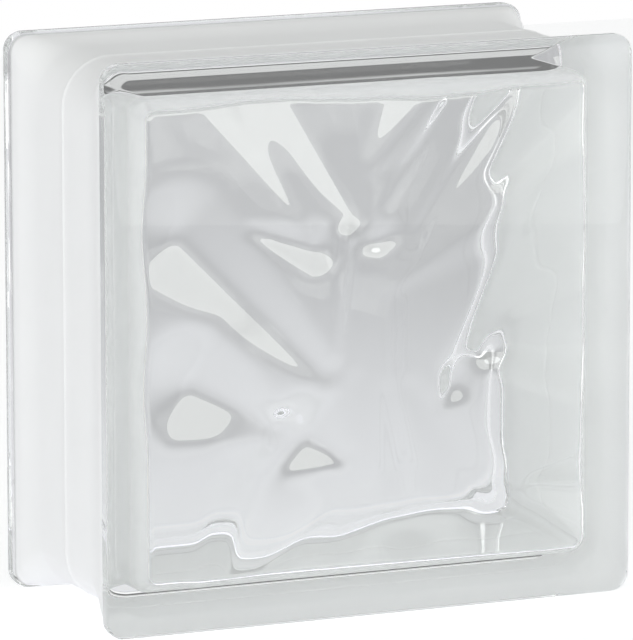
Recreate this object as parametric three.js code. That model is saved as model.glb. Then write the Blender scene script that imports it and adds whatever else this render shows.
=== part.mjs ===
// A hollow glass block for walls and partitions. Two pressed glass shells, each a face with
// a wall round it, are fused mouth to mouth at a seam halfway through the block. Each face
// ends in a square rim that stands proud of the walls. The hollow between the two rims, the
// mortar key, carries a white coating. The outer faces are smooth, and folds that were
// pressed into the inside of the front face bend what is seen through it.
//
// Millimetres. X is the width, Y the depth from the front face to the back face, Z is up.
// The origin is at the middle of the footprint, on the floor that the rims stand on.
import * as THREE from "three";

// Driving sizes.
const faceWidth = 196.85;
const faceHeight = 196.85;
const blockDepth = 98.4;
const edgeWidth = 5.8; // of a face's rounded edge, seen from the front
const edgeDepth = 3.1; // of the same edge along Y
const rimLand = 3.1; // flat width of the rim, on which the block stands
const rimBackRadius = 1.2; // rounding where the rim turns into the mortar key
const rimCornerRadius = 6.6;
const keySlopeLength = 20; // along Y, from the rim to where the key reaches its depth
const keyDepth = 3.5;
const keyFloorFall = 0.2; // further fall between the end of the slope and the seam
const keyCornerRadius = 17;
const coatingThickness = 0.5;
const meetingGap = 0.3; // between pieces that are bonded or fused
const seamBeadHeight = 0.4;
const seamBeadWidth = 3;
const faceGlass = 8; // from the outer face to the inner face beside its folds
const wallGlass = 8.5; // of the walls round the hollow, under the coating
const haunchWidth = 4.3; // how much thicker a wall is where it meets the folded face
const haunchDepth = 15; // along Y, over which the wall thickens
const hollowCornerRadius = 6; // of the upright corners of the hollow
const foldedCornerRadius = 3; // of the corners of a folded face
const foldTaper = 0.7; // how much of its width and height a fold loses along its crest
const foldSoftness = 0.15; // rounding of its crest and foot, as a share of its width

// Folds of the inner faces, seen from outside: where each crest runs from and to, as shares
// of the half width and half height of the folded face, then, at its start, the distance
// from the crest to the fold's foot as such a share, and its height. A fold narrows and
// sinks towards its end. Folds of negative height are troughs. The back face has none.
const frontFolds = [
  { from: [-0.85, 0.46], to: [-0.21, -0.16], spread: 0.23, height: 5.4 },
  { from: [-0.8, -0.17], to: [-0.42, -0.36], spread: 0.24, height: 6.6 },
  { from: [-0.27, -0.42], to: [-0.14, -0.52], spread: 0.19, height: 5.4 },
  { from: [-0.24, 0.38], to: [-0.54, 0.48], spread: 0.11, height: 2.8 },
  { from: [-0.42, 1.1], to: [-0.04, 0.5], spread: 0.19, height: 3.4 },
  { from: [-0.62, 1.1], to: [-0.27, 0.48], spread: 0.15, height: 2.6 },
  { from: [-0.18, 1.1], to: [-0.02, 0.5], spread: 0.06, height: 1 },
  { from: [0.38, 1.1], to: [0.02, 0.72], spread: 0.22, height: -3 },
  { from: [0.46, 1.1], to: [0.03, 0.47], spread: 0.05, height: 1.2 },
  { from: [0.72, 1.1], to: [0.22, 0.4], spread: 0.12, height: 1.8 },
  { from: [1.05, 0.98], to: [0.62, 0.64], spread: 0.24, height: 3 },
  { from: [1.05, 0.38], to: [0.42, -0.18], spread: 0.28, height: 4.6 },
  { from: [1.05, -0.12], to: [0.56, -0.12], spread: 0.24, height: 4.4 },
  { from: [-0.12, 0.42], to: [-0.15, -0.1], spread: 0.05, height: -2 },
  { from: [0.05, 0.38], to: [0.06, 0.34], spread: 0.1, height: 2 },
  { from: [0.4, -0.26], to: [0.34, -0.34], spread: 0.09, height: 2.2 },
  { from: [-0.46, -0.58], to: [-0.72, -1.1], spread: 0.26, height: 4.6 },
  { from: [1.05, -0.76], to: [0.8, -0.72], spread: 0.2, height: 4 },
  { from: [0.75, -1.05], to: [-0.3, -1.05], spread: 0.36, height: 3 },
  { from: [-0.14, -0.8], to: [-0.06, -0.2], spread: 0.14, height: 0.8 },
  { from: [0.18, -0.85], to: [0.08, -0.25], spread: 0.12, height: 0.8 },
  { from: [0.55, -0.75], to: [0.2, -0.25], spread: 0.16, height: 1 },
  { from: [0.62, 0.5], to: [0.12, 0.2], spread: 0.14, height: -1 },
];
const backFolds = [];

// How finely the surfaces are cut into facets.
const cornerFacets = 6; // round each upright corner
const sideFacets = 18; // along each straight side of a shell
const coatingSideFacets = 2; // along each straight side of the coating
const roundingFacets = 4; // across each rounding
const haunchFacets = 5; // along the haunch
const slopeFacets = 4; // along the slope of the mortar key
const foldedRingCount = 20; // from the edge of a folded face to its middle
const plainRingCount = 3; // the same for a face without folds
const middleCornerRadius = 0.5; // of the innermost ring of a folded face

// Worked-out sizes. Every inset is measured inwards from the rim's outline.
const seamPlane = blockDepth / 2;
const rimThickness = edgeDepth + rimLand + rimBackRadius;
const keyInsetAtSeam = keyDepth + keyFloorFall;
const bondDepth = coatingThickness + meetingGap; // from the coating's outside to the glass
const hollowInset = keyInsetAtSeam + bondDepth + wallGlass;
const foldedInset = hollowInset + haunchWidth;
const foldedHalfWidth = faceWidth / 2 - foldedInset;
const foldedHalfHeight = faceHeight / 2 - foldedInset;

const blend = (a, b, t) => a + (b - a) * t;

// One ring of points round the block at depth y: a rectangle with round corners that lies
// inset from the rim's outline. Rings with the same side facets have their points in step.
function ring(y, inset, cornerRadius, alongSide = sideFacets) {
  const halfWidth = faceWidth / 2 - inset;
  const halfHeight = faceHeight / 2 - inset;
  const radius = Math.min(cornerRadius, halfWidth, halfHeight);
  const points = [];
  for (let corner = 0; corner < 4; corner++) {
    const startAngle = (corner * Math.PI) / 2;
    const signX = corner === 0 || corner === 3 ? 1 : -1;
    const signZ = corner < 2 ? 1 : -1;
    const centreX = signX * (halfWidth - radius);
    const centreZ = signZ * (halfHeight - radius);
    for (let step = 0; step <= cornerFacets; step++) {
      const angle = startAngle + (step / cornerFacets) * (Math.PI / 2);
      const x = centreX + radius * Math.cos(angle);
      const z = centreZ + radius * Math.sin(angle);
      points.push(new THREE.Vector3(x, y, z));
    }
  }
  const arc = cornerFacets + 1;
  const round = [];
  for (let corner = 0; corner < 4; corner++) {
    round.push(...points.slice(corner * arc, (corner + 1) * arc));
    const from = points[(corner + 1) * arc - 1];
    const to = points[((corner + 1) * arc) % points.length];
    for (let step = 1; step < alongSide; step++) {
      round.push(from.clone().lerp(to, step / alongSide));
    }
  }
  return round;
}

// The mortar key as a share of the way down its slope: its depth and its corner radius.
function keyDepthAt(share) {
  return keyDepth * Math.sin((share * Math.PI) / 2);
}

function keyCornerAt(share) {
  return blend(rimCornerRadius, keyCornerRadius, share);
}

// The rings of the mortar key from the rim to the seam, offset inwards by a distance that
// fades in from startOffset to fullOffset as the slope leaves the rim.
function keyRings(startOffset, fullOffset, seam, alongSide) {
  const rings = [];
  for (let step = 0; step <= slopeFacets; step++) {
    const share = step / slopeFacets;
    const offset = blend(startOffset, fullOffset, Math.min(1, step));
    const y = rimThickness + share * keySlopeLength;
    const inset = keyDepthAt(share) + offset;
    rings.push(ring(y, inset, keyCornerAt(share) - offset, alongSide));
  }
  const seamInset = keyInsetAtSeam + fullOffset;
  const seamCorner = keyCornerRadius - fullOffset;
  const beadInset = seamInset - seamBeadHeight;
  rings.push(ring(seamPlane - seamBeadWidth / 2, seamInset, seamCorner, alongSide));
  rings.push(ring(seam, beadInset, seamCorner + seamBeadHeight, alongSide));
  return rings;
}

// How far the folds lift a folded face at a place given in shares of its half width and
// half height. Each fold is a roof with soft edges.
function foldRise(shareX, shareZ, folds) {
  let rise = 0;
  for (const fold of folds) {
    const alongX = fold.to[0] - fold.from[0];
    const alongZ = fold.to[1] - fold.from[1];
    const length = Math.hypot(alongX, alongZ);
    const offX = shareX - fold.from[0];
    const offZ = shareZ - fold.from[1];
    const travel = (offX * alongX + offZ * alongZ) / length;
    const aside = (offX * alongZ - offZ * alongX) / length;
    const beyond = Math.max(0, -travel, travel - length);
    const size = 1 - foldTaper * Math.min(1, Math.max(0, travel / length));
    const away = Math.hypot(aside, beyond) / (fold.spread * size);
    const slope = 1 + foldSoftness - Math.hypot(away, foldSoftness);
    rise += (fold.height * size * (slope + Math.hypot(slope, foldSoftness))) / 2;
  }
  return rise;
}

// The inner face and its haunch: the wall's ring, the haunch and the folds to the middle.
function foldedRings(folds) {
  const ringCount = folds.length ? foldedRingCount : plainRingCount;
  const rings = [];
  for (let step = 0; step <= haunchFacets; step++) {
    const share = step / haunchFacets;
    const widening = share ** 2;
    const inset = hollowInset + haunchWidth * widening;
    const corner = blend(hollowCornerRadius, foldedCornerRadius, widening);
    const y = faceGlass + haunchDepth * (1 - share);
    rings.push(foldedRing(ring(y, inset, corner), widening, folds));
  }
  const middle = Math.min(faceWidth, faceHeight) / 2;
  for (let step = 1; step < ringCount; step++) {
    const share = step / ringCount;
    const inset = blend(foldedInset, middle, share);
    const corner = blend(foldedCornerRadius, middleCornerRadius, share);
    rings.push(foldedRing(ring(faceGlass, inset, corner), 1, folds));
  }
  return rings;
}

function foldedRing(points, strength, folds) {
  for (const point of points) {
    const shareX = point.x / foldedHalfWidth;
    const shareZ = point.z / foldedHalfHeight;
    point.y += foldRise(shareX, shareZ, folds) * strength;
  }
  return points;
}

// A closed skin through a run of rings, with a single point at each end or, for a band that
// closes on itself, its last ring joined to its first.
function skin(rings, startPole, endPole) {
  const around = rings[0].length;
  const positions = [];
  const indices = [];
  rings.flat().forEach((p) => positions.push(p.x, p.y, p.z));
  const bands = startPole ? rings.length - 1 : rings.length;
  for (let band = 0; band < bands; band++) {
    const near = band * around;
    const far = ((band + 1) % rings.length) * around;
    for (let i = 0; i < around; i++) {
      const next = (i + 1) % around;
      indices.push(near + i, far + next, near + next);
      indices.push(near + i, far + i, far + next);
    }
  }
  if (startPole) {
    const start = rings.length * around;
    const end = start + 1;
    const last = (rings.length - 1) * around;
    positions.push(...startPole.toArray(), ...endPole.toArray());
    for (let i = 0; i < around; i++) {
      const next = (i + 1) % around;
      indices.push(start, i, next);
      indices.push(end, last + next, last + i);
    }
  }
  const geometry = new THREE.BufferGeometry();
  geometry.setAttribute("position", new THREE.Float32BufferAttribute(positions, 3));
  geometry.setIndex(indices);
  return geometry;
}

// One pressed shell with its face at y = 0 and its mouth at the seam.
function shellGeometry(folds) {
  const rings = [];
  for (let step = 0; step <= roundingFacets; step++) {
    const turn = (step / roundingFacets) * (Math.PI / 2);
    const inset = edgeWidth * (1 - Math.sin(turn));
    const y = edgeDepth * (1 - Math.cos(turn));
    rings.push(ring(y, inset, rimCornerRadius - inset / 2));
  }
  rings.push(ring(edgeDepth + rimLand, 0, rimCornerRadius));
  const mouth = seamPlane - meetingGap / 2;
  rings.push(...keyRings(rimBackRadius, bondDepth, mouth));
  rings.push(ring(mouth, hollowInset, hollowCornerRadius));
  rings.push(...foldedRings(folds));
  const middle = new THREE.Vector3(0, faceGlass + foldRise(0, 0, folds), 0);
  return skin(rings, new THREE.Vector3(0, 0, 0), middle);
}

// A shell turned half round, so that its face is at the back of the block.
function turnedRound(geometry) {
  return geometry.rotateZ(Math.PI).translate(0, blockDepth, 0);
}

// The coating is one band in the mortar key, from rim to rim and across the seam.
function coatingGeometry() {
  const rimStep = rimBackRadius - bondDepth; // the coating starts this much below the rim
  const sides = coatingSideFacets;
  const outer = keyRings(rimStep, 0, seamPlane, sides);
  const inner = keyRings(rimStep + coatingThickness, coatingThickness, seamPlane, sides);
  const mirrored = (rings) =>
    rings
      .slice(0, -1)
      .reverse()
      .map((points) => points.map((p) => new THREE.Vector3(p.x, blockDepth - p.y, p.z)));
  const outerBand = [...outer, ...mirrored(outer)];
  const innerBand = [...inner, ...mirrored(inner)];
  return skin([...outerBand, ...innerBand.reverse()]);
}

const glass = new THREE.MeshStandardMaterial({
  name: "clear_glass",
  color: 0xe4eae6,
  roughness: 0.03,
  metalness: 0,
  transparent: true,
  opacity: 0.35,
});
const whiteCoating = new THREE.MeshStandardMaterial({
  name: "white_edge_coating",
  color: 0xeaecec,
  roughness: 0.55,
  metalness: 0,
});

function namedMesh(name, geometry, material) {
  const mesh = new THREE.Mesh(geometry, material);
  mesh.name = name;
  return mesh;
}

const pieces = new THREE.Group();
pieces.add(namedMesh("front_shell", shellGeometry(frontFolds), glass));
pieces.add(namedMesh("back_shell", turnedRound(shellGeometry(backFolds)), glass));
pieces.add(namedMesh("edge_coating", coatingGeometry(), whiteCoating));
pieces.position.set(0, -blockDepth / 2, faceHeight / 2);

export default pieces;
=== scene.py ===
"""Dresses a hollow glass block: two fused shells of clear pressed glass, the front one with
folds in its inner face, and the white coating in the mortar key between their rims."""

import math

import bmesh
import bpy
import numpy as np
from bpy.props import FloatProperty, FloatVectorProperty, IntProperty, PointerProperty
from mathutils import Matrix, Vector


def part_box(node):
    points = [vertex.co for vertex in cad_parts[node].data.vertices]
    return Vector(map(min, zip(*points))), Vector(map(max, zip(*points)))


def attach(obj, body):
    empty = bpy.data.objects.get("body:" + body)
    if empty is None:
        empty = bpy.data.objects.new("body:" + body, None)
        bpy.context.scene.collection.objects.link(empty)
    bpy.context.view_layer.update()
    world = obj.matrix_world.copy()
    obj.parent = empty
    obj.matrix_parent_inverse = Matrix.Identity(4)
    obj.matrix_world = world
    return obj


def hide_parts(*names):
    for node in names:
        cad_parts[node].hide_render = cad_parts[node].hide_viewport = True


bl_info = {
    "name": "Glass Block",
    "version": (1, 0, 0),
    "blender": (4, 5, 0),
    "location": "3D Viewport > Sidebar > Glass Block",
    "description": "Builds a hollow glass block with folds in its front face",
    "category": "Object",
}

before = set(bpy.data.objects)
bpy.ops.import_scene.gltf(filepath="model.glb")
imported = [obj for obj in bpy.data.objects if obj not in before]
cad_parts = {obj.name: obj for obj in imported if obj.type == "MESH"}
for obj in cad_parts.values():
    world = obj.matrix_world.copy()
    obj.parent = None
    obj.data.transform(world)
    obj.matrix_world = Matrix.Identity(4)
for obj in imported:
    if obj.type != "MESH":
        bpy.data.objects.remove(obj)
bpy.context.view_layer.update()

MM = 0.001
FRONT_LOW, FRONT_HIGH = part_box("front_shell")
BACK_LOW, BACK_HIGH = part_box("back_shell")
BLOCK_WIDTH = FRONT_HIGH.x - FRONT_LOW.x
BLOCK_HEIGHT = FRONT_HIGH.z - FRONT_LOW.z
BLOCK_DEPTH = BACK_HIGH.y - FRONT_LOW.y
BLOCK_CENTRE = Vector((0, 0, BLOCK_HEIGHT / 2))

# Folds of each shell's inner face, seen from outside: the crest's two ends as shares of the
# half width and half height of the folded face, then, at the first end, the distance from the
# crest to the fold's foot as such a share, and its height in millimetres. A fold narrows and
# sinks towards its second end. Folds of negative height are troughs.
FRONT_FOLDS = (
    ((-0.85, 0.46), (-0.21, -0.16), 0.23, 5.4),
    ((-0.80, -0.17), (-0.42, -0.36), 0.24, 6.6),
    ((-0.27, -0.42), (-0.14, -0.52), 0.19, 5.4),
    ((-0.24, 0.38), (-0.54, 0.48), 0.11, 2.8),
    ((-0.42, 1.10), (-0.04, 0.50), 0.19, 3.4),
    ((-0.62, 1.10), (-0.27, 0.48), 0.15, 2.6),
    ((-0.18, 1.10), (-0.02, 0.50), 0.06, 1.0),
    ((0.38, 1.10), (0.02, 0.72), 0.22, -3.0),
    ((0.46, 1.10), (0.03, 0.47), 0.05, 1.2),
    ((0.72, 1.10), (0.22, 0.40), 0.12, 1.8),
    ((1.05, 0.98), (0.62, 0.64), 0.24, 3.0),
    ((1.05, 0.38), (0.42, -0.18), 0.28, 4.6),
    ((1.05, -0.12), (0.56, -0.12), 0.24, 4.4),
    ((-0.12, 0.42), (-0.15, -0.10), 0.05, -2.0),
    ((0.05, 0.38), (0.06, 0.34), 0.10, 2.0),
    ((0.40, -0.26), (0.34, -0.34), 0.09, 2.2),
    ((-0.46, -0.58), (-0.72, -1.10), 0.26, 4.6),
    ((1.05, -0.76), (0.80, -0.72), 0.20, 4.0),
    ((0.75, -1.05), (-0.30, -1.05), 0.36, 3.0),
    ((-0.14, -0.80), (-0.06, -0.20), 0.14, 0.8),
    ((0.18, -0.85), (0.08, -0.25), 0.12, 0.8),
    ((0.55, -0.75), (0.20, -0.25), 0.16, 1.0),
    ((0.62, 0.50), (0.12, 0.20), 0.14, -1.0),
)
BACK_FOLDS = ()
FOLD_TAPER = 0.7  # how much of its width and height a fold loses along its crest
FOLD_SOFTNESS = 0.15  # rounding of its crest and foot, as a share of its width
POLISH_PLACES = 8  # places round a point over which its height is averaged


def length_property(name, description, millimetres):
    return FloatProperty(
        name=name,
        description=description,
        default=millimetres * MM,
        min=0,
        unit="LENGTH",
        subtype="DISTANCE",
        precision=5,
    )


class BlockSizes(bpy.types.PropertyGroup):
    edge_width: length_property("Edge width", "Width of a face's rounded edge", 5.8)
    edge_depth: length_property("Edge depth", "Depth of a face's rounded edge", 3.1)
    rim_land: length_property("Rim land", "Flat width of the rim", 3.1)
    rim_back_radius: length_property("Rim back radius", "Rounding at the back of the rim", 1.2)
    rim_corner: length_property("Rim corner", "Corner radius of the rim", 6.6)
    key_slope: length_property("Key slope", "Length of the mortar key's slope", 20)
    key_depth: length_property("Key depth", "Depth of the mortar key at the slope's end", 3.5)
    key_fall: length_property("Key fall", "Further fall from the slope to the seam", 0.2)
    key_corner: length_property("Key corner", "Corner radius at the key's floor", 17)
    coating: length_property("Coating", "Thickness of the edge coating", 0.3)
    bond_gap: length_property("Bond gap", "From the coating to the glass", 0.02)
    bead_height: length_property("Seam bead height", "How far the fused seam stands up", 0.4)
    bead_width: length_property("Seam bead width", "Width of the fused seam's bead", 3)
    face_glass: length_property("Face glass", "Glass from the face to the folds' middle", 8)
    seam_wall: length_property("Seam wall", "Wall thickness at the seam", 9)
    haunch_width: length_property("Haunch width", "Extra wall thickness at the folds", 4.3)
    haunch_depth: length_property("Haunch depth", "Depth over which the wall thickens", 15)
    hollow_corner: length_property("Hollow corner", "Corner radius of the hollow", 6)
    folds_corner: length_property("Folds corner", "Corner radius of the folded face", 3)
    folds_edge: length_property("Folds edge", "Rounding where the folds meet the wall", 2.5)
    polish: length_property("Polish", "Radius over which fire polish rounds the folds", 2.0)
    edge_wave: FloatProperty(
        name="Edge wave",
        description="How far a fold pushes the folded face's edge out, as a share of its height",
        default=0.45,
        min=0,
        max=0.5,
    )
    steps: IntProperty(
        name="Steps",
        description="Facets along each side of a shell's rings",
        default=180,
        min=16,
    )


class BlockFinishes(bpy.types.PropertyGroup):
    glass_tint: FloatVectorProperty(
        name="Glass tint",
        description="What one surface of the glass lets through",
        default=(0.985, 0.992, 0.988),
        subtype="COLOR",
        min=0,
        max=1,
    )
    coating_colour: FloatVectorProperty(
        name="Coating colour",
        description="Colour of the edge coating",
        default=(0.955, 0.96, 0.955),
        subtype="COLOR",
        min=0,
        max=1,
    )


# --- shader maths --------------------------------------------------------------------


class Socket:
    """One output of a node tree, with Python's operators adding Math nodes."""

    def __init__(self, tree, socket):
        self.tree = tree
        self.socket = socket

    def maths(self, operation, *values):
        inputs = {index: value for index, value in enumerate(values)}
        return add_node(self.tree, "ShaderNodeMath", {"operation": operation}, inputs)

    def __add__(self, other):
        return self.maths("ADD", self, other)

    def __radd__(self, other):
        return self.maths("ADD", other, self)

    def __sub__(self, other):
        return self.maths("SUBTRACT", self, other)

    def __rsub__(self, other):
        return self.maths("SUBTRACT", other, self)

    def __mul__(self, other):
        return self.maths("MULTIPLY", self, other)

    def __rmul__(self, other):
        return self.maths("MULTIPLY", other, self)

    def clamp(self):
        return add_node(self.tree, "ShaderNodeClamp", {}, {0: self})


def add_node(tree, kind, settings=None, inputs=None, output=0):
    """Adds a node, sets it, gives it its inputs as values or links and returns an output."""
    node = tree.nodes.new(kind)
    for name, value in (settings or {}).items():
        setattr(node, name, value)
    for name, value in (inputs or {}).items():
        if isinstance(value, Socket):
            tree.links.new(value.socket, node.inputs[name])
        else:
            node.inputs[name].default_value = value
    return Socket(tree, node.outputs[output])


def new_material(name):
    material = bpy.data.materials.new(name)
    material.use_nodes = True
    tree = material.node_tree
    tree.nodes.clear()
    return material, tree


def finish_material(tree, surface):
    output = tree.nodes.new("ShaderNodeOutputMaterial")
    tree.links.new(surface.socket, output.inputs["Surface"])


def object_coordinates(tree):
    return add_node(tree, "ShaderNodeTexCoord", output=3)


def noise(tree, scale, detail):
    """A pattern that stays put on its piece, with its scale in patches to the metre."""
    inputs = {"Vector": object_coordinates(tree), "Scale": scale, "Detail": detail}
    return add_node(tree, "ShaderNodeTexNoise", {}, inputs)


def bump(tree, height, strength, distance):
    inputs = {"Strength": strength, "Distance": distance, "Height": height}
    return add_node(tree, "ShaderNodeBump", {}, inputs)


def ramp(tree, value, start, end):
    """A smooth rise from 0 to 1 while the value goes from start to end."""
    inputs = {"Value": value, "From Min": start, "From Max": end}
    return add_node(tree, "ShaderNodeMapRange", {"interpolation_type": "SMOOTHSTEP"}, inputs)


def blend(low, high, share):
    """From low at a share of 0 to high at a share of 1."""
    return share * (high - low) + low


# --- materials -----------------------------------------------------------------------

GLASS_IOR = 1.52
WAVES = 60.0  # faint waves in the glass, to the metre
WAVE_STRENGTH = 0.004
WAVE_DISTANCE = 1 * MM
COATING_IOR = 1.46
COATING_PATCHES = 45.0  # pale patches in the coating, to the metre
COATING_GRAINS = 900.0  # its fine grains, to the metre
COATING_BUMP = 0.15
COATING_BUMP_DISTANCE = 0.3 * MM
PATCH_LIFT = 1.03  # how much lighter a pale patch is
PATCH_ROUGHNESS = 0.2  # how much rougher it is
COATING_ROUGHNESS = 0.45
COATING_GLOW = 0.12  # share of the light that shines through the coating


def clear_glass_material(finishes):
    material, tree = new_material("clear_glass")
    waves = noise(tree, WAVES, 2.0)
    inputs = {
        "Base Color": (*finishes.glass_tint, 1),
        "Roughness": 0.0,
        "IOR": GLASS_IOR,
        "Transmission Weight": 1.0,
        "Normal": bump(tree, waves, WAVE_STRENGTH, WAVE_DISTANCE),
    }
    finish_material(tree, add_node(tree, "ShaderNodeBsdfPrincipled", {}, inputs))
    return material


def bonded_glass_material():
    """Where glass is fused to glass or wetted by the coating, light goes straight on."""
    material, tree = new_material("bonded_glass")
    finish_material(tree, add_node(tree, "ShaderNodeBsdfTransparent"))
    return material


def coating_material(finishes):
    material, tree = new_material("white_edge_coating")
    patches = noise(tree, COATING_PATCHES, 4.0)
    grains = noise(tree, COATING_GRAINS, 3.0)
    height = grains * 0.5 + patches * 0.5
    pale = [min(1, channel * PATCH_LIFT) for channel in finishes.coating_colour]
    inputs = {"Factor": patches, "A": (*finishes.coating_colour, 1), "B": (*pale, 1)}
    colour = add_node(tree, "ShaderNodeMix", {"data_type": "RGBA"}, inputs, output=2)
    inputs = {
        "Base Color": colour,
        "Roughness": patches * PATCH_ROUGHNESS + COATING_ROUGHNESS,
        "IOR": COATING_IOR,
        "Normal": bump(tree, height, COATING_BUMP, COATING_BUMP_DISTANCE),
    }
    paint = add_node(tree, "ShaderNodeBsdfPrincipled", {}, inputs)
    glow = add_node(tree, "ShaderNodeBsdfTranslucent", {}, {"Color": colour})
    mix = add_node(tree, "ShaderNodeMixShader", {}, {0: COATING_GLOW, 1: paint, 2: glow})
    finish_material(tree, mix)
    return material


# --- shapes --------------------------------------------------------------------------

CORNER_SHARE = 0.125  # of each side's half that a corner's rounding takes up
FACE_STEPS = 2  # rings on the flat of the face that keep its shading flat
FACE_STEP = 0.5 * MM
KEY_SETTLING = 4  # the key's offset settles over the slope's length divided by this
CLEAR, BONDED = 0, 1  # the places of a shell's two materials


def on_outline(share_x, share_z, inset, corner_radius, scale=1.0):
    """A point on a rectangle with round corners, from its place on a square of side 2."""
    half_width = (BLOCK_WIDTH / 2 - inset) * scale
    half_height = (BLOCK_HEIGHT / 2 - inset) * scale
    radius = corner_radius * scale
    straight = 1 - CORNER_SHARE
    across, up = abs(share_x), abs(share_z)
    if min(across, up) <= straight:
        if up >= across:
            x = share_x / straight * (half_width - radius)
            return x, math.copysign(half_height, share_z)
        z = share_z / straight * (half_height - radius)
        return math.copysign(half_width, share_x), z
    into = (min(across, up) - straight) / CORNER_SHARE
    angle = math.pi / 4 * (2 - into if up >= across else into)
    x = half_width - radius + radius * math.cos(angle)
    z = half_height - radius + radius * math.sin(angle)
    return math.copysign(x, share_x), math.copysign(z, share_z)


def fold_rise(share_x, share_z, folds):
    """How far the folds lift the inner face at some places, each a roof with soft edges."""
    rise = np.zeros_like(share_x)
    for start, end, spread, height in folds:
        along_x, along_z = end[0] - start[0], end[1] - start[1]
        length = math.hypot(along_x, along_z)
        off_x, off_z = share_x - start[0], share_z - start[1]
        travel = (off_x * along_x + off_z * along_z) / length
        aside = (off_x * along_z - off_z * along_x) / length
        beyond = np.maximum(0.0, np.maximum(-travel, travel - length))
        size = 1 - FOLD_TAPER * np.clip(travel / length, 0.0, 1.0)
        away = np.hypot(aside, beyond) / (spread * size)
        slope = 1 + FOLD_SOFTNESS - np.hypot(away, FOLD_SOFTNESS)
        rise += height * size * (slope + np.hypot(slope, FOLD_SOFTNESS)) / 2
    return rise * MM


def polished_rise(share_x, share_z, folds, reach):
    """The folds' lift, averaged over a small ring, as fire polish rounds their crests."""
    rise = fold_rise(share_x, share_z, folds)
    for step in range(POLISH_PLACES):
        turn = step / POLISH_PLACES * 2 * math.pi
        beside, above = reach * math.cos(turn), reach * math.sin(turn)
        rise = rise + fold_rise(share_x + beside, share_z + above, folds)
    return rise / (1 + POLISH_PLACES)


class ShellSizes:
    """The worked-out sizes of a shell, every inset measured from the rim's outline.

    A ring is its depth behind the face, its inset and its corner radius, and in the hollow
    also how strongly the folds move it.
    """

    def __init__(self, sizes):
        self.given = sizes
        self.rim = sizes.edge_depth + sizes.rim_land + sizes.rim_back_radius
        self.seam = BLOCK_DEPTH / 2
        self.bond = sizes.coating + sizes.bond_gap
        self.key_at_seam = sizes.key_depth + sizes.key_fall
        self.hollow = self.key_at_seam + self.bond + sizes.seam_wall
        self.folds_inset = self.hollow + sizes.haunch_width
        self.folds_half_width = BLOCK_WIDTH / 2 - self.folds_inset
        self.folds_half_height = BLOCK_HEIGHT / 2 - self.folds_inset
        self.folds_edge_turn = math.atan2(sizes.haunch_depth, 2 * sizes.haunch_width)
        self.folds_edge_start = sizes.folds_edge * math.tan(self.folds_edge_turn / 2)

    def fillet_rings(self, steps=8):
        """The rounding from the folded face to the wall."""
        given = self.given
        rings = []
        for step in range(1, steps + 1):
            turn = step / steps * self.folds_edge_turn
            out = given.folds_edge * math.sin(turn) - self.folds_edge_start
            back = given.folds_edge * (1 - math.cos(turn))
            y = given.face_glass + back
            strength = (1 - back / given.haunch_depth) ** 2
            rings.append((y, self.folds_inset - out, given.folds_corner + out, strength))
        return rings

    def haunch_rings(self, steps=12):
        """The wall as it thins behind the fillet, which takes the place of its first step."""
        given = self.given
        rings = []
        for step in range(steps - 2, -1, -1):
            share_up = step / steps
            widening = share_up**2
            y = given.face_glass + given.haunch_depth * (1 - share_up)
            inset = self.hollow + given.haunch_width * widening
            corner = given.hollow_corner + (given.folds_corner - given.hollow_corner) * widening
            rings.append((y, inset, corner, widening))
        return rings

    def rim_back_rings(self, steps=5):
        """The rounding from the mortar key to the rim's flat land."""
        given = self.given
        land_back = given.edge_depth + given.rim_land
        rings = []
        for step in range(steps - 1, -1, -1):
            turn = step / steps * math.pi / 2
            y = land_back + given.rim_back_radius * math.sin(turn)
            inset = given.rim_back_radius * (1 - math.cos(turn))
            rings.append((y, inset, given.rim_corner - inset))
        return rings

    def face_edge_rings(self, steps=16):
        """The rounded edge of the face and a little of the flat face inside it."""
        given = self.given
        rings = []
        for step in range(steps + 1):
            turn = step / steps * math.pi / 2
            y = given.edge_depth * (1 - math.sin(turn))
            inset = given.edge_width * (1 - math.cos(turn))
            rings.append((y, inset, given.rim_corner - inset / 2))
        for step in range(1, FACE_STEPS + 1):
            inset = given.edge_width + step * FACE_STEP
            rings.append((0.0, inset, given.rim_corner - inset / 2))
        return rings

    def key_rings(self, start_offset, full_offset, slope_steps=14, bead_steps=4):
        """The mortar key from the rim to the seam."""
        given = self.given
        rings = []
        for step in range(slope_steps + 1):
            share = step / slope_steps
            depth = given.key_depth * math.sin(share * math.pi / 2)
            corner = given.rim_corner + (given.key_corner - given.rim_corner) * share
            settling = max(0, 1 - KEY_SETTLING * share)
            offset = full_offset + (start_offset - full_offset) * settling
            y = self.rim + share * given.key_slope
            rings.append((y, depth + offset, corner - offset))
        bead_start = self.seam - given.bead_width / 2
        inset, corner = self.key_at_seam + full_offset, given.key_corner - full_offset
        rings.append((bead_start - given.bead_width, inset, corner))
        for step in range(bead_steps + 1):
            share = step / bead_steps
            rise = given.bead_height * math.sin(share * math.pi / 2) ** 2
            y = bead_start + share * given.bead_width / 2
            rings.append((y, inset - rise, corner + rise))
        return rings


def extrude_ring(mesh, edges):
    """Extrudes an open edge, and returns the new vertices, open edge and faces."""
    made = bmesh.ops.extrude_edge_only(mesh, edges=edges)["geom"]
    vertices = [part for part in made if isinstance(part, bmesh.types.BMVert)]
    faces = [part for part in made if isinstance(part, bmesh.types.BMFace)]
    sides = [part for part in made if isinstance(part, bmesh.types.BMEdge)]
    return vertices, [side for side in sides if side.is_boundary], faces


def finish_faces(mesh):
    """Turns the faces outwards and shades them smooth."""
    bmesh.ops.recalc_face_normals(mesh, faces=mesh.faces)
    for face in mesh.faces:
        face.smooth = True


def move_into_block(mesh):
    """Takes a mesh whose outer face is at y = 0 to the block's place on the floor."""
    shift = (0, -BLOCK_DEPTH / 2, BLOCK_HEIGHT / 2)
    bmesh.ops.translate(mesh, verts=mesh.verts, vec=shift)


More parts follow.
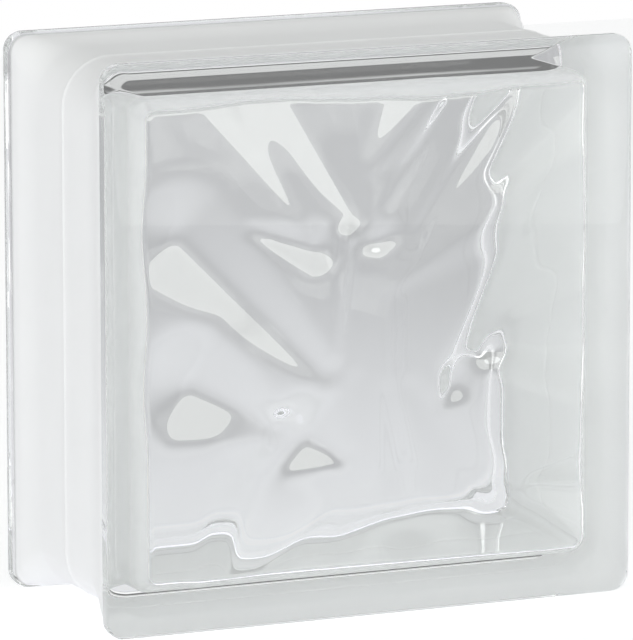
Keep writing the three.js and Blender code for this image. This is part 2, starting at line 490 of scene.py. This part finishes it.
def shell_mesh(sizes, folds):
    """One shell with its face at y = 0 and its mouth at the seam, centred on X and Z."""
    given = sizes.given
    mesh = bmesh.new()
    bmesh.ops.create_grid(mesh, x_segments=given.steps, y_segments=given.steps, size=1)
    # Each vertex keeps where its ray from the middle meets a square of side 2, and how far
    # along that ray it lies.
    share = mesh.verts.layers.float_vector.new("share")

    def lift_folds(vertices, strength):
        across = np.array([vertex.co.x for vertex in vertices]) / sizes.folds_half_width
        up = np.array([vertex.co.z for vertex in vertices]) / sizes.folds_half_height
        reach = given.polish / sizes.folds_half_width
        for vertex, rise in zip(vertices, polished_rise(across, up, folds, reach)):
            vertex.co.y += rise * strength

    def edge_bulges(vertices):
        edge_u = np.array([vertex[share].x for vertex in vertices])
        edge_v = np.array([vertex[share].y for vertex in vertices])
        return given.edge_wave * fold_rise(edge_u, edge_v, folds)

    face = list(mesh.verts)
    for vertex in face:
        u, v = vertex.co.x, vertex.co.y
        scale = max(abs(u), abs(v))
        vertex[share] = (u / scale, v / scale, scale) if scale > 0 else (1, 1, 0)
    corner = given.folds_corner - sizes.folds_edge_start
    for vertex, bulge in zip(face, edge_bulges(face)):
        inset = sizes.folds_inset + sizes.folds_edge_start - bulge
        edge_u, edge_v, scale = vertex[share]
        x, z = on_outline(edge_u, edge_v, inset, corner, scale)
        vertex.co = (x, given.face_glass, z)
    lift_folds(face, 1)

    edges = [edge for edge in mesh.edges if edge.is_boundary]

    def next_ring(y, inset, corner, strength=0.0, material=CLEAR):
        """Extrudes the open edge to an outline, which the folds move by their strength."""
        nonlocal edges
        vertices, edges, faces = extrude_ring(mesh, edges)
        for vertex, bulge in zip(vertices, edge_bulges(vertices)):
            edge_u, edge_v, _ = vertex[share]
            x, z = on_outline(edge_u, edge_v, inset - strength * bulge, corner)
            vertex.co = (x, y, z)
        if strength:
            lift_folds(vertices, strength)
        for face in faces:
            face.material_index = material

    for ring in (*sizes.fillet_rings(), *sizes.haunch_rings()):
        next_ring(*ring)
    next_ring(sizes.seam, sizes.hollow, given.hollow_corner)
    mouth_inner = edges
    *key, (_, seam_inset, seam_corner) = sizes.key_rings(given.rim_back_radius, sizes.bond)
    next_ring(sizes.seam, seam_inset, seam_corner, material=BONDED)
    mouth_outer = edges
    for ring in reversed(key):
        next_ring(*ring, material=BONDED)
    for ring in (*sizes.rim_back_rings(), *sizes.face_edge_rings()):
        next_ring(*ring)
    bmesh.ops.contextual_create(mesh, geom=edges)
    for edge in (*mouth_inner, *mouth_outer):
        edge.smooth = False
    finish_faces(mesh)
    return mesh


def new_piece(name, mesh, materials):
    """Makes a piece of a mesh, which is used up."""
    data = bpy.data.meshes.new(name)
    mesh.to_mesh(data)
    mesh.free()
    for material in materials:
        data.materials.append(material)
    piece = bpy.data.objects.new(name, data)
    bpy.context.scene.collection.objects.link(piece)
    return piece


class BLOCK_OT_shells(bpy.types.Operator):
    """Build the two fused glass shells"""

    bl_idname = "block.shells"
    bl_label = "Build shells"

    def execute(self, context):
        sizes = ShellSizes(context.scene.block_sizes)
        finishes = context.scene.block_finishes
        materials = [clear_glass_material(finishes), bonded_glass_material()]
        for name, turn, folds, node in (
            ("front_glass_shell", 0.0, FRONT_FOLDS, "front_shell"),
            ("back_glass_shell", math.pi, BACK_FOLDS, "back_shell"),
        ):
            mesh = shell_mesh(sizes, folds)
            move_into_block(mesh)
            bmesh.ops.rotate(mesh, verts=mesh.verts, matrix=Matrix.Rotation(turn, 3, "Z"))
            piece = new_piece(name, mesh, materials)
            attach(piece, "root")
            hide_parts(node)
        return {"FINISHED"}


def behind_seam(rings):
    """The rings of the back half, which mirror those in front of the seam."""
    return [(BLOCK_DEPTH - y, inset, corner) for y, inset, corner in reversed(rings[:-1])]


class BLOCK_OT_edge_coating(bpy.types.Operator):
    """Build the white coating of the mortar key"""

    bl_idname = "block.edge_coating"
    bl_label = "Build edge coating"

    def execute(self, context):
        sizes = ShellSizes(context.scene.block_sizes)
        given = sizes.given
        start = given.rim_back_radius - sizes.bond
        outer = sizes.key_rings(start, 0)
        inner = sizes.key_rings(start + given.coating, given.coating)
        rings = [*outer, *behind_seam(outer), *reversed([*inner, *behind_seam(inner)])]
        mesh = bmesh.new()
        bmesh.ops.create_circle(mesh, segments=2 * given.steps, radius=1)
        share = mesh.verts.layers.float_vector.new("share")
        for vertex in mesh.verts:
            scale = max(abs(vertex.co.x), abs(vertex.co.y))
            vertex[share] = (vertex.co.x / scale, vertex.co.y / scale, 0)

        def place(vertices, ring):
            y, inset, corner = ring
            for vertex in vertices:
                x, z = on_outline(vertex[share].x, vertex[share].y, inset, corner)
                vertex.co = (x, y, z)

        first = list(mesh.edges)
        place(mesh.verts, rings[0])
        edges = first
        for ring in rings[1:]:
            vertices, edges, _ = extrude_ring(mesh, edges)
            place(vertices, ring)
        bmesh.ops.bridge_loops(mesh, edges=[*first, *edges])
        move_into_block(mesh)
        finish_faces(mesh)
        finishes = context.scene.block_finishes
        piece = new_piece("white_edge_coating", mesh, [coating_material(finishes)])
        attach(piece, "root")
        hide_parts("edge_coating")
        return {"FINISHED"}


# --- stage ---------------------------------------------------------------------------

# The camera, in degrees and metres: where it looks from, and how far its aim is from the
# middle of the block. Its focal length is in pixels of a picture of the height given here.
CAMERA_AZIMUTH = -23.72
CAMERA_ELEVATION = 10.30
CAMERA_ROLL = -0.07
CAMERA_DISTANCE = 2.27295
CAMERA_ACROSS = -0.00026
CAMERA_UP = -0.00271
PICTURE_HEIGHT = 640
FOCAL_PIXELS = 6520.6
SENSOR = 36.0

# The key light, in metres and watts.
KEY_PLACE = Vector((-1.7, -1.5, 0.9))
KEY_SIZE = 1.6
KEY_POWER = 12.3

# What the glass sees round it. A height is the Z of a direction of length 1, and a level of 1
# shows as white. A band comes in between its two heights and stays up to the next band.
SIDES = (-0.05, 0.25)  # the Y over which the front gives way to the back
FRONT_LEFT = 1.0
FRONT_RIGHT = 1.85
FRONT_BELOW = 1.65
FRONT_BELOW_ENDS = (-0.01, 0.02)
FRONT_ABOVE = 0.62
FRONT_ABOVE_STARTS = (0.2, 0.6)
BACK_BELOW = 0.67
BACK_BANDS = (
    (0.0, 0.004, 1.0),
    (0.055, 0.075, 0.12),
    (0.145, 0.165, 0.6),
    (0.24, 0.28, 1.0),
    (0.35, 0.5, 0.56),
)
OVERHEAD = 0.48
OVERHEAD_STARTS = (0.65, 0.9)
FLAG_DIMMING = 0.4  # what the two grey flags beside the block take away
FLAG_EDGES = (0.7, 0.85)  # the square of X over which a flag comes in
STUDIO_TINT = (0.99, 1.0, 1.0)

# The table under the block, in metres. Its front edge is square to the mirrored view. Its
# paint and its glow change at the block's middle and again farther behind: the paint darkens
# farther behind as painted shade, and the glow is painted light from a table that is no lamp.
TABLE_CORNERS = ((-1.4, -1.53), (1.4, -0.35), (1.4, 1.3), (-1.4, 1.3))
TABLE_TINT = (0.99, 0.99, 1.02)
TABLE_MIDDLE = (-0.01, 0.01)
TABLE_FAR = (0.1, 0.7)
# painted shade: the table's paint is lightest in front of the block and darkens farther behind it
TABLE_PAINT_AND_SHADE = {"front": 0.8, "behind": 0.68, "far": 0.48}
# painted light: how strongly the table glows, though it is no lamp
TABLE_PAINTED_LIGHT = {"front": 0.32, "behind": 0.29, "far": 0.15}
SHADOW_LIFTING_LIGHT = 0.38  # painted light beside and under the block, lifting the shadow that it casts there
SHADOW_LIFTING_EDGES = (0.006, 0.02)  # the square of Y over which that painted light ends
PAPER_GLOW = 0.3

GLASS_BOUNCES = 24
COATING_BOUNCES = 8


def add_camera():
    azimuth, elevation = math.radians(CAMERA_AZIMUTH), math.radians(CAMERA_ELEVATION)
    back = Vector(
        (
            math.sin(azimuth) * math.cos(elevation),
            -math.cos(azimuth) * math.cos(elevation),
            math.sin(elevation),
        )
    )
    level = Vector((math.cos(azimuth), math.sin(azimuth), 0))
    upright = back.cross(level)
    roll = math.radians(CAMERA_ROLL)
    right = math.cos(roll) * level + math.sin(roll) * upright
    up = -math.sin(roll) * level + math.cos(roll) * upright
    place = BLOCK_CENTRE + CAMERA_ACROSS * right + CAMERA_UP * up + CAMERA_DISTANCE * back
    data = bpy.data.cameras.new("camera")
    data.sensor_width = SENSOR
    data.lens = FOCAL_PIXELS * SENSOR / PICTURE_HEIGHT
    data.clip_end = 100
    camera = bpy.data.objects.new("camera", data)
    turn = Matrix((right, up, back)).transposed().to_4x4()
    camera.matrix_world = Matrix.Translation(place) @ turn
    bpy.context.scene.collection.objects.link(camera)
    bpy.context.scene.camera = camera


def add_key_light():
    data = bpy.data.lights.new("key", "AREA")
    data.shape = "SQUARE"
    data.size = KEY_SIZE
    data.energy = KEY_POWER
    light = bpy.data.objects.new("key", data)
    light.location = KEY_PLACE
    towards_block = BLOCK_CENTRE - KEY_PLACE
    light.rotation_euler = towards_block.to_track_quat("-Z", "Y").to_euler()
    bpy.context.scene.collection.objects.link(light)


def tinted(tree, level, tint):
    """A colour that is the tint times a level that a node gives."""
    settings = {"data_type": "RGBA", "blend_type": "MULTIPLY"}
    colour = add_node(tree, "ShaderNodeMix", settings, {"Factor": 1.0, "A": (*tint, 1)}, output=2)
    tree.links.new(level.socket, colour.socket.node.inputs["B"])
    return colour


def split_vector(tree, vector):
    split = tree.nodes.new("ShaderNodeSeparateXYZ")
    tree.links.new(vector.socket, split.inputs[0])
    return [Socket(tree, output) for output in split.outputs]


def is_camera_ray(tree):
    rays = tree.nodes.new("ShaderNodeLightPath")
    return Socket(tree, rays.outputs["Is Camera Ray"])


def set_world():
    """A bright studio: pale walls in front, a dark band over the horizon behind, grey flags."""
    world = bpy.data.worlds.new("studio")
    bpy.context.scene.world = world
    world.use_nodes = True
    tree = world.node_tree
    tree.nodes.clear()
    direction = add_node(tree, "ShaderNodeTexCoord")
    x, y, z = split_vector(tree, direction)
    front = blend(FRONT_LEFT, FRONT_RIGHT, (x + 1).clamp())
    front = blend(front, FRONT_ABOVE, ramp(tree, z, *FRONT_ABOVE_STARTS))
    front = blend(FRONT_BELOW, front, ramp(tree, z, *FRONT_BELOW_ENDS))
    back = BACK_BELOW
    for start, end, band in BACK_BANDS:
        back = blend(back, band, ramp(tree, z, start, end))
    level = blend(front, back, ramp(tree, y, *SIDES))
    level = blend(level, OVERHEAD, ramp(tree, z, *OVERHEAD_STARTS))
    level = level * (1 - FLAG_DIMMING * ramp(tree, x * x, *FLAG_EDGES))
    colour = tinted(tree, level, STUDIO_TINT)
    inputs = {"Factor": is_camera_ray(tree), "A": colour, "B": (1, 1, 1, 1)}
    shown = add_node(tree, "ShaderNodeMix", {"data_type": "RGBA"}, inputs, output=2)
    background = add_node(tree, "ShaderNodeBackground", {}, {"Color": shown})
    output = tree.nodes.new("ShaderNodeOutputWorld")
    tree.links.new(background.socket, output.inputs["Surface"])


def add_floor():
    """A pale table that shows as white paper to the camera, and to the glass as a table whose
    paint darkens farther behind as painted shade and whose glow is painted light.
    """
    mesh = bmesh.new()
    bmesh.ops.contextual_create(mesh, geom=[mesh.verts.new((x, y, 0)) for x, y in TABLE_CORNERS])
    material, tree = new_material("floor")
    place = add_node(tree, "ShaderNodeNewGeometry")
    _, y, _ = split_vector(tree, place)
    behind = ramp(tree, y, *TABLE_MIDDLE)
    far = ramp(tree, y, *TABLE_FAR)
    # painted light: a mask that is 1 beside and under the block, where its own shadow falls
    shadow_lift = 1 - ramp(tree, y * y, *SHADOW_LIFTING_EDGES)

    def by_distance(levels):
        return blend(levels["front"], blend(levels["behind"], levels["far"], far), behind)

    # the table's paint, with painted shade that darkens it farther behind the block
    paint = tinted(tree, by_distance(TABLE_PAINT_AND_SHADE), TABLE_TINT)
    # painted light: the table's glow, raised beside and under the block to lift its shadow
    painted_light_colour = tinted(tree, blend(by_distance(TABLE_PAINTED_LIGHT), SHADOW_LIFTING_LIGHT, shadow_lift), TABLE_TINT)
    diffuse = add_node(tree, "ShaderNodeBsdfDiffuse", {}, {"Color": paint})
    # painted light: the table's glow, an emission from a table that is no lamp
    glow = add_node(tree, "ShaderNodeEmission", {}, {"Color": painted_light_colour})
    table = add_node(tree, "ShaderNodeAddShader", {}, {0: diffuse, 1: glow})
    white = add_node(tree, "ShaderNodeBsdfDiffuse", {}, {"Color": (1, 1, 1, 1)})
    inputs = {"Color": (1, 1, 1, 1), "Strength": PAPER_GLOW}
    bright = add_node(tree, "ShaderNodeEmission", {}, inputs)
    paper = add_node(tree, "ShaderNodeAddShader", {}, {0: white, 1: bright})
    inputs = {0: is_camera_ray(tree), 1: table, 2: paper}
    finish_material(tree, add_node(tree, "ShaderNodeMixShader", {}, inputs))
    new_piece("floor", mesh, [material])


class BLOCK_OT_stage(bpy.types.Operator):
    """Set up the camera, the lights, the world and the floor"""

    bl_idname = "block.stage"
    bl_label = "Set up stage"

    def execute(self, context):
        add_camera()
        set_world()
        add_floor()
        add_key_light()
        scene = context.scene
        scene.view_settings.view_transform = "Standard"
        scene.cycles.max_bounces = GLASS_BOUNCES
        scene.cycles.diffuse_bounces = COATING_BOUNCES
        scene.cycles.glossy_bounces = GLASS_BOUNCES
        scene.cycles.transmission_bounces = GLASS_BOUNCES
        scene.cycles.transparent_max_bounces = GLASS_BOUNCES
        scene.cycles.blur_glossy = 0.0
        return {"FINISHED"}


class BLOCK_PT_panel(bpy.types.Panel):
    """Lists the operators of the glass block"""

    bl_label = "Glass Block"
    bl_space_type = "VIEW_3D"
    bl_region_type = "UI"
    bl_category = "Glass Block"

    def draw(self, context):
        for operator in (BLOCK_OT_stage, BLOCK_OT_shells, BLOCK_OT_edge_coating):
            self.layout.operator(operator.bl_idname)
        for name in BlockSizes.__annotations__:
            self.layout.prop(context.scene.block_sizes, name)
        for name in BlockFinishes.__annotations__:
            self.layout.prop(context.scene.block_finishes, name)


CLASSES = (
    BlockSizes,
    BlockFinishes,
    BLOCK_OT_stage,
    BLOCK_OT_shells,
    BLOCK_OT_edge_coating,
    BLOCK_PT_panel,
)


def register():
    for item in CLASSES:
        bpy.utils.register_class(item)
    bpy.types.Scene.block_sizes = PointerProperty(type=BlockSizes)
    bpy.types.Scene.block_finishes = PointerProperty(type=BlockFinishes)


def unregister():
    del bpy.types.Scene.block_finishes
    del bpy.types.Scene.block_sizes
    for item in reversed(CLASSES):
        bpy.utils.unregister_class(item)


def main():
    register()
    bpy.ops.block.stage()
    bpy.ops.block.shells()
    bpy.ops.block.edge_coating()


if __name__ == "__main__":
    main()
